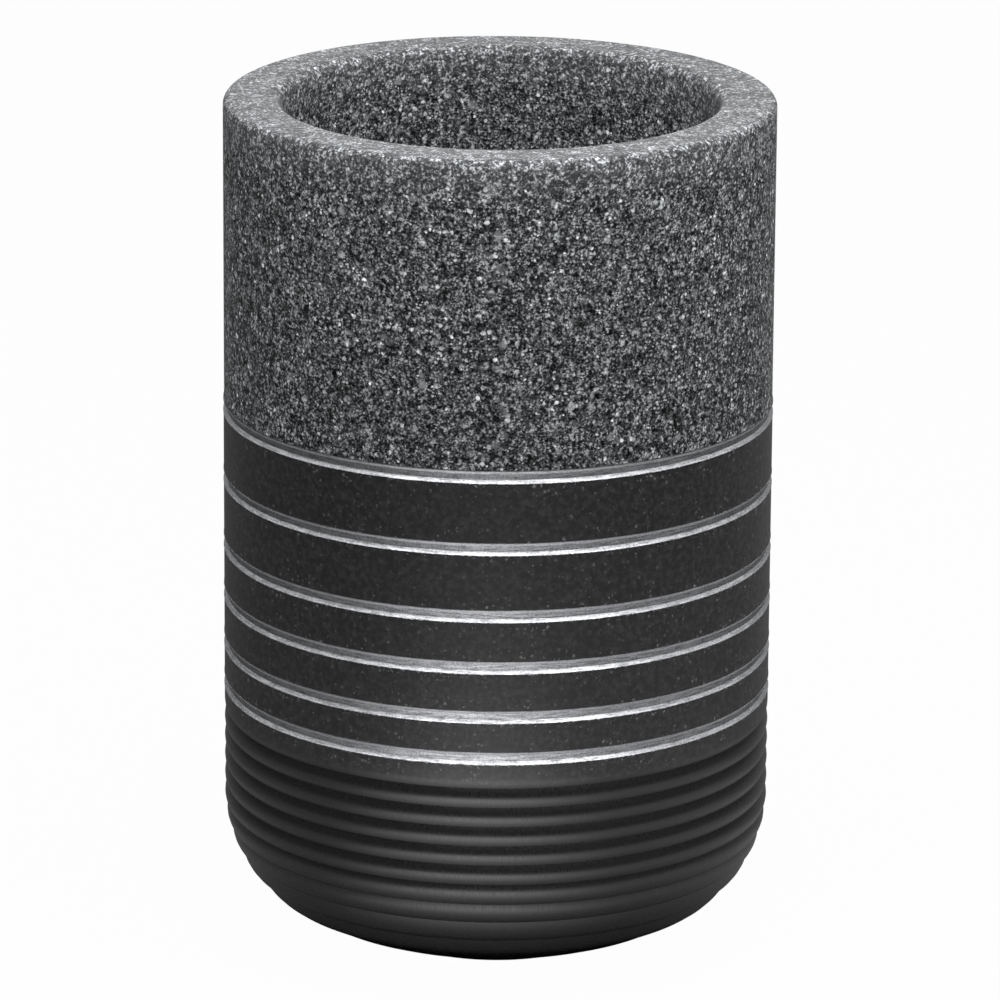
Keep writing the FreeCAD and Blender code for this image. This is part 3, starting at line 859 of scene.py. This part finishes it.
def make_camera(scene):
    """The photograph's view: a long lens, a little above the rim."""
    data = bpy.data.cameras.new("camera")
    data.lens = LENS
    data.sensor_width = SENSOR
    data.clip_start = NEAR_CLIP
    data.clip_end = FAR_CLIP
    camera = bpy.data.objects.new("camera", data)
    scene.collection.objects.link(camera)
    up, down = math.radians(ELEVATION), math.radians(ELEVATION + EXTRA_PITCH)
    yaw = math.radians(YAW)
    place = Vector((0.0, -STAND_OFF * math.cos(up), LOOK_HEIGHT + STAND_OFF * math.sin(up)))
    forward = Vector((math.sin(yaw) * math.cos(down), math.cos(yaw) * math.cos(down),
                      -math.sin(down)))
    right = Vector((math.cos(yaw), -math.sin(yaw), 0.0))
    turn = Matrix((right, right.cross(forward), -forward)).transposed()
    camera.matrix_world = (Matrix.Translation(place) @ turn.to_4x4()
                           @ Matrix.Rotation(math.radians(ROLL), 4, "Z"))
    scene.camera = camera


# Softboxes: name, place, width, power, and whether reflections show it. All look at one point.
LAMPS = (
    ("overhead_softbox", (0.04, -0.14, 0.47), 0.5, 2.6, True),
    ("rim_softbox", (0.0, -0.09, 0.225), 0.12, 0.17, False),
    ("right_softbox", (0.45, -0.1, 0.25), 0.3, 0.75, False),
    ("left_softbox", (-0.45, -0.1, 0.25), 0.3, 0.45, False),
)
LAMP_TARGET = (0.0, 0.0, 0.06)


def make_lamp(scene, name, place, width, power, mirrored):
    """A square softbox that is never seen by the camera itself."""
    data = bpy.data.lights.new(name, "AREA")
    data.shape = "RECTANGLE"
    data.size = data.size_y = width
    data.energy = power
    lamp = bpy.data.objects.new(name, data)
    scene.collection.objects.link(lamp)
    lamp.location = place
    way = Vector(LAMP_TARGET) - Vector(place)
    lamp.rotation_euler = way.to_track_quat("-Z", "Y").to_euler()
    lamp.visible_camera = False
    lamp.visible_glossy = mirrored


# What the studio gives to every matt surface, and what reflections see of it: a dim room under a
# pale ceiling, which reaches lower on the far side and is brighter on the right, and a white
# backdrop behind. Spans are shares of a direction.
ROOM_FILL = 0.22
ROOM_LEVELS = (0.08, 1.8)
CEILING_SPAN = (0.5, 0.95)
CEILING_LEAN = 0.4
CEILING_SIDES = (0.9, 1.35)
BACKDROP_SPAN = (0.91, 0.99)
BACKDROP = 1.0

# The floor: its size, corners and colour, and how white the camera sees it
FLOOR_RADIUS = 6.0
FLOOR_CORNERS = 64
FLOOR_COLOUR = "#A0A0A0"
FLOOR_SEEN = 0.98

# What reflections see of the floor, with spans in metres: light and shadow painted on it. It is dim
# behind the part, a little less so on the right, and dimmer in front. Over that, round the part's
# front half, lie a painted glow that is stronger on the right and fades some way off, and a painted
# bright pool of light. Under the foot is a painted shadow, dark.
PAINTED_DIM_SPAN = (-0.1, 0.1)
PAINTED_DIM_LEVELS = (0.18, 0.26)
PAINTED_FRONT_SPAN = (0.02, -0.08)
PAINTED_FRONT_LEVEL = 0.14
PAINTED_GLOW_SIDES = (-0.05, 0.05)
PAINTED_GLOW_LEVELS = (0.35, 0.75)
PAINTED_GLOW_END = (0.2, 0.13)
PAINTED_GLOW_FRONT = (0.04, -0.06)
PAINTED_POOL_PLACE = (-0.01, -0.085, 0.0)
PAINTED_POOL_RADIUS = 0.07
PAINTED_POOL_LEVEL = 3.3
PAINTED_FOOT_SHADOW = (0.025, 0.055)


def make_world(scene):
    """White to the camera. Reflections see a white backdrop behind the part, a pale ceiling and
    a dim room."""
    world = bpy.data.worlds.new("studio")
    world.use_nodes = True
    tree = world.node_tree
    tree.nodes.clear()
    path = add(tree, "ShaderNodeLightPath")
    place = add(tree, "ShaderNodeTexCoord")
    split = add(tree, "ShaderNodeSeparateXYZ", {"Vector": place.outputs["Generated"]})
    leant = add(tree, "ShaderNodeMath", {0: split.outputs["Y"], 1: CEILING_LEAN,
                                         2: split.outputs["Z"]}, operation="MULTIPLY_ADD")
    above = add(tree, "ShaderNodeMapRange", {"Value": leant, "From": CEILING_SPAN,
                                             "To": ROOM_LEVELS}, interpolation_type="SMOOTHSTEP")
    sideways = add(tree, "ShaderNodeMapRange", {"Value": split.outputs["X"],
                                                "From": (-1.0, 1.0), "To": CEILING_SIDES})
    ceiling = add(tree, "ShaderNodeMath", {0: above, 1: sideways}, operation="MULTIPLY")
    behind = add(tree, "ShaderNodeMapRange", {"Value": split.outputs["Y"],
                                              "From": BACKDROP_SPAN, "To": (0.0, BACKDROP)})
    brighter = add(tree, "ShaderNodeMath", {0: ceiling, 1: behind}, operation="MAXIMUM")
    mirrored = add(tree, "ShaderNodeMix", {"Factor": path.outputs["Is Glossy Ray"],
                                           "A": ROOM_FILL, "B": brighter}, data_type="FLOAT")
    through = add(tree, "ShaderNodeMath", {0: path.outputs["Is Camera Ray"],
                                           1: path.outputs["Is Transmission Ray"]},
                  operation="MAXIMUM")
    seen = add(tree, "ShaderNodeMix", {"Factor": through, "A": mirrored, "B": 1.0},
               data_type="FLOAT")
    back = add(tree, "ShaderNodeBackground", {"Color": (1.0, 1.0, 1.0, 1.0), "Strength": seen})
    add(tree, "ShaderNodeOutputWorld", {"Surface": back})
    scene.world = world


def make_floor(scene):
    """A pale floor: white to the camera, with the part's faint shadow left on it. Reflections see
    painted light on it, a glow and a bright pool, and a painted shadow under the foot. From below
    it can't be seen."""
    mesh = bpy.data.meshes.new("floor")
    turns = [math.tau * i / FLOOR_CORNERS for i in range(FLOOR_CORNERS)]
    corners = [(FLOOR_RADIUS * math.cos(turn), FLOOR_RADIUS * math.sin(turn), 0.0)
               for turn in turns]
    mesh.from_pydata(corners, [], [tuple(range(FLOOR_CORNERS))])
    floor = bpy.data.objects.new("floor", mesh)
    scene.collection.objects.link(floor)
    material = bpy.data.materials.new("pale_floor")
    material.use_nodes = True
    tree = material.node_tree
    tree.nodes.clear()
    path = add(tree, "ShaderNodeLightPath")
    through = add(tree, "ShaderNodeMath", {0: path.outputs["Is Camera Ray"],
                                           1: path.outputs["Is Transmission Ray"]},
                  operation="MAXIMUM")
    seen = add(tree, "ShaderNodeMath", {0: through, 1: FLOOR_SEEN}, operation="MULTIPLY")
    share = add(tree, "ShaderNodeMath", {0: seen, 1: path.outputs["Is Glossy Ray"]},
                operation="MAXIMUM")
    place = add(tree, "ShaderNodeTexCoord").outputs["Object"]
    split = add(tree, "ShaderNodeSeparateXYZ", {"Vector": place})
    across, inward = split.outputs["X"], split.outputs["Y"]
    reach = add(tree, "ShaderNodeVectorMath", {0: place}, operation="LENGTH")
    away = add(tree, "ShaderNodeVectorMath", {0: place, 1: PAINTED_POOL_PLACE}, operation="DISTANCE")
    # Painted light on the floor for reflections: dim, a little brighter on the right, dimmer in
    # front
    painted_dim = add(tree, "ShaderNodeMapRange", {"Value": across, "From": PAINTED_DIM_SPAN, "To": PAINTED_DIM_LEVELS})
    painted_front = add(tree, "ShaderNodeMapRange", {"Value": inward, "From": PAINTED_FRONT_SPAN,
                                             "To": (painted_dim, PAINTED_FRONT_LEVEL)},
                interpolation_type="SMOOTHSTEP")
    # Painted pool of light in front of the part
    painted_pool = add(tree, "ShaderNodeMapRange", {"Value": away, "From": (PAINTED_POOL_RADIUS, 0.0),
                                            "To": (0.0, PAINTED_POOL_LEVEL)},
               interpolation_type="SMOOTHSTEP")
    side = add(tree, "ShaderNodeMapRange", {"Value": across, "From": PAINTED_GLOW_SIDES,
                                            "To": PAINTED_GLOW_LEVELS})
    close = add(tree, "ShaderNodeMapRange", {"Value": reach, "From": PAINTED_GLOW_END},
                interpolation_type="SMOOTHSTEP")
    before = add(tree, "ShaderNodeMapRange", {"Value": inward, "From": PAINTED_GLOW_FRONT})
    band = add(tree, "ShaderNodeMath", {0: close, 1: before}, operation="MULTIPLY")
    painted_glow = add(tree, "ShaderNodeMath", {0: side, 1: band, 2: painted_front}, operation="MULTIPLY_ADD")
    painted_light = add(tree, "ShaderNodeMath", {0: painted_glow, 1: painted_pool}, operation="ADD")
    # Painted shadow: the floor goes dark under the foot
    painted_foot_shadow = add(tree, "ShaderNodeMapRange", {"Value": reach, "From": PAINTED_FOOT_SHADOW})
    mirrored = add(tree, "ShaderNodeMath", {0: painted_light, 1: painted_foot_shadow}, operation="MULTIPLY")
    level = add(tree, "ShaderNodeMix", {"Factor": through, "A": mirrored, "B": 1.0},
                data_type="FLOAT")
    matt = add(tree, "ShaderNodeBsdfDiffuse", {"Color": (*linear(FLOOR_COLOUR), 1.0)})
    white = add(tree, "ShaderNodeEmission", {"Color": (1.0, 1.0, 1.0, 1.0), "Strength": level})
    top = add(tree, "ShaderNodeMixShader", {"Fac": share, 1: matt, 2: white})
    clear = add(tree, "ShaderNodeBsdfTransparent")
    facing = add(tree, "ShaderNodeNewGeometry")
    both = add(tree, "ShaderNodeMixShader", {"Fac": facing.outputs["Backfacing"], 1: top,
                                             2: clear})
    add(tree, "ShaderNodeOutputMaterial", {"Surface": both})
    mesh.materials.append(material)


class TUMBLER_OT_set_stage(bpy.types.Operator):
    """Set the stage: pale floor, white surround, soft lamps and the camera"""

    bl_idname = "tumbler.set_stage"
    bl_label = "Set stage"

    def execute(self, context):
        scene = context.scene
        make_camera(scene)
        make_world(scene)
        make_floor(scene)
        for lamp in LAMPS:
            make_lamp(scene, *lamp)
        scene.view_settings.view_transform = "Standard"
        return {"FINISHED"}


class TUMBLER_PT_panel(bpy.types.Panel):
    """Sizes, colours and steps of the tumbler"""

    bl_idname = "TUMBLER_PT_panel"
    bl_label = "Tumbler"
    bl_space_type = "VIEW_3D"
    bl_region_type = "UI"
    bl_category = "Tumbler"

    def draw(self, context):
        scene = context.scene
        for group in (scene.tumbler_sizes, scene.tumbler_colours, scene.tumbler_counts):
            column = self.layout.column()
            for name in group.bl_rna.properties.keys():
                if name not in ("rna_type", "name"):
                    column.prop(group, name)
        for operator in OPERATORS:
            self.layout.operator(operator.bl_idname)


OPERATORS = (TUMBLER_OT_cast_cup, TUMBLER_OT_spray_coat, TUMBLER_OT_run_silver,
             TUMBLER_OT_cut_pad, TUMBLER_OT_lay_film, TUMBLER_OT_set_stage)
CLASSES = (TumblerSizes, TumblerColours, TumblerCounts) + OPERATORS + (TUMBLER_PT_panel,)


def register():
    for kind in CLASSES:
        bpy.utils.register_class(kind)
    bpy.types.Scene.tumbler_sizes = bpy.props.PointerProperty(type=TumblerSizes)
    bpy.types.Scene.tumbler_colours = bpy.props.PointerProperty(type=TumblerColours)
    bpy.types.Scene.tumbler_counts = bpy.props.PointerProperty(type=TumblerCounts)


def unregister():
    del bpy.types.Scene.tumbler_counts
    del bpy.types.Scene.tumbler_colours
    del bpy.types.Scene.tumbler_sizes
    for kind in reversed(CLASSES):
        bpy.utils.unregister_class(kind)


def main():
    register()
    bpy.ops.tumbler.cast_cup()
    bpy.ops.tumbler.spray_coat()
    bpy.ops.tumbler.run_silver()
    bpy.ops.tumbler.cut_pad()
    bpy.ops.tumbler.lay_film()
    bpy.ops.tumbler.set_stage()


if __name__ == "__main__":
    main()
